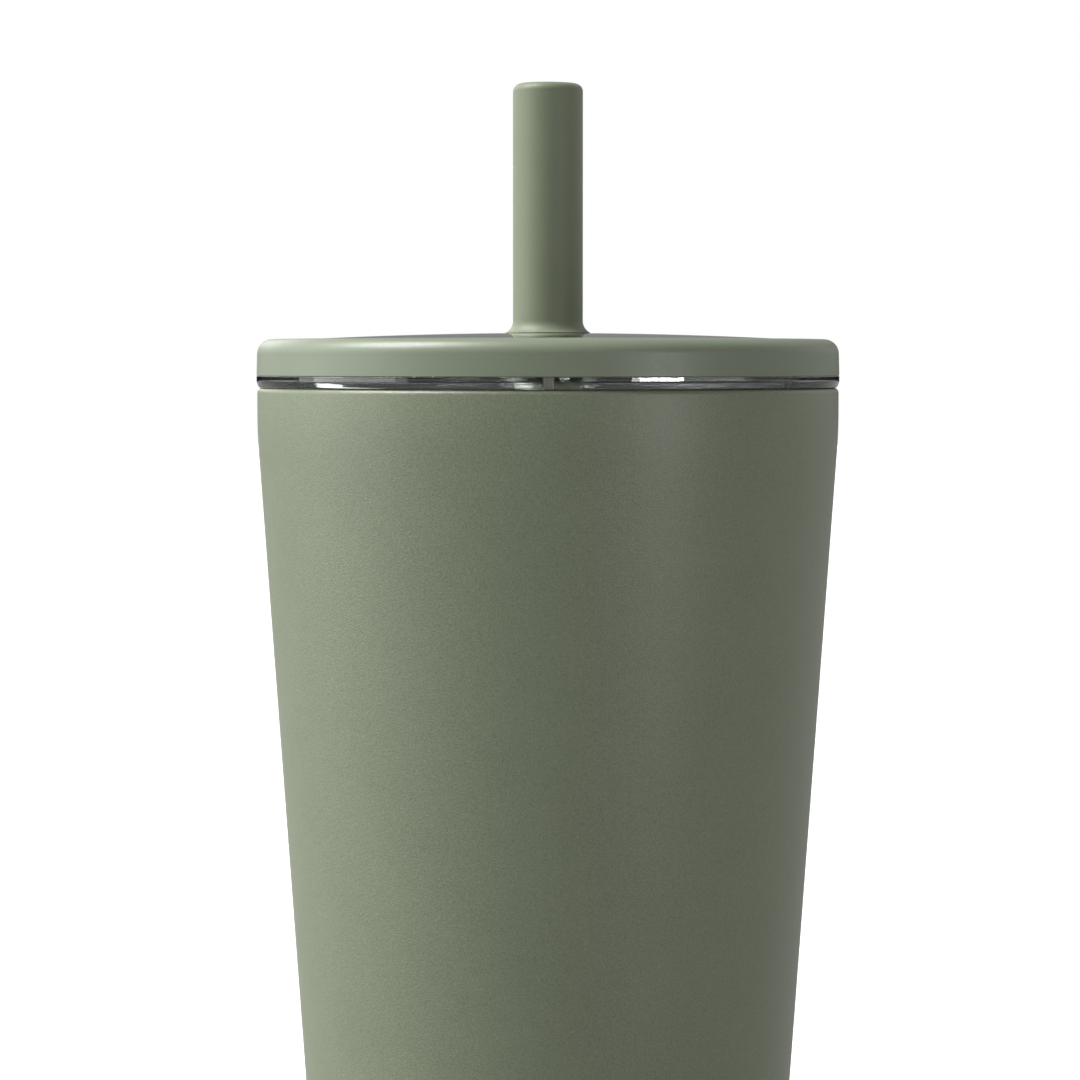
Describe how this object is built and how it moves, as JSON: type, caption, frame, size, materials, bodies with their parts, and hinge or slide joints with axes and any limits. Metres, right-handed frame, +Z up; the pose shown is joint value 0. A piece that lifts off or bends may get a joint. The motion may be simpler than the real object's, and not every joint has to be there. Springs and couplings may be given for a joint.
{
  "type": "insulated tumbler with straw lid",
  "caption": "Tapered double-wall vacuum steel tumbler with a push-on clear lid, a coloured lid ring, and a straw with a flared silicone mouthpiece.",
  "frame": {"origin": "on the tumbler's axis, at the level of the surface it stands on", "axes": "+Z up along the axis of the tumbler, the lid and the straw; -Y towards the moulding gate's mark on the lid's clear flange; +X towards the lid's air vent"},
  "size_m": [0.088, 0.088, 0.2158],
  "materials": {
    "powder_coat": "fine-grained matt powder coat, sage green",
    "liner_steel": "satin, brushed round the axis",
    "base_steel": "satin stainless",
    "cover_steel": "polished stainless",
    "copper": "bright copper foil",
    "getter_steel": "pressed steel",
    "getter": "sintered, dull grey",
    "solder_glass": "dark glass bead",
    "foot_rubber": "matt silicone",
    "clear_plastic": "clear, polished",
    "ring_plastic": "satin, sage green",
    "seal_silicone": "translucent silicone",
    "tip_silicone": "soft silicone, sage green"
  },
  "bodies": {
    "vessel": {"outer_shell": "powder_coat", "inner_liner": "liner_steel", "outer_base": "base_steel", "copper_foil": "copper", "getter_holder": "getter_steel", "getter_pill": "getter", "port_seal": "solder_glass", "base_cover": "cover_steel", "foot_ring": "foot_rubber"},
    "lid": {"lid_body": "clear_plastic", "lid_ring": "ring_plastic", "lid_gasket": "seal_silicone"},
    "straw": {"straw_tube": "clear_plastic"},
    "mouthpiece": {"straw_tip": "tip_silicone"}
  },
  "joints": [
    {"name": "lid_lift", "type": "slide", "parent": "vessel", "child": "lid", "axis": [0, 0, 1], "range_m": [0, 0.165]},
    {"name": "straw_pull", "type": "slide", "parent": "lid", "child": "straw", "axis": [0, 0, 1], "range_m": [0, 0.17]},
    {"name": "tip_pull", "type": "slide", "parent": "straw", "child": "mouthpiece", "axis": [0, 0, 1], "range_m": [0, 0.045]}
  ]
}
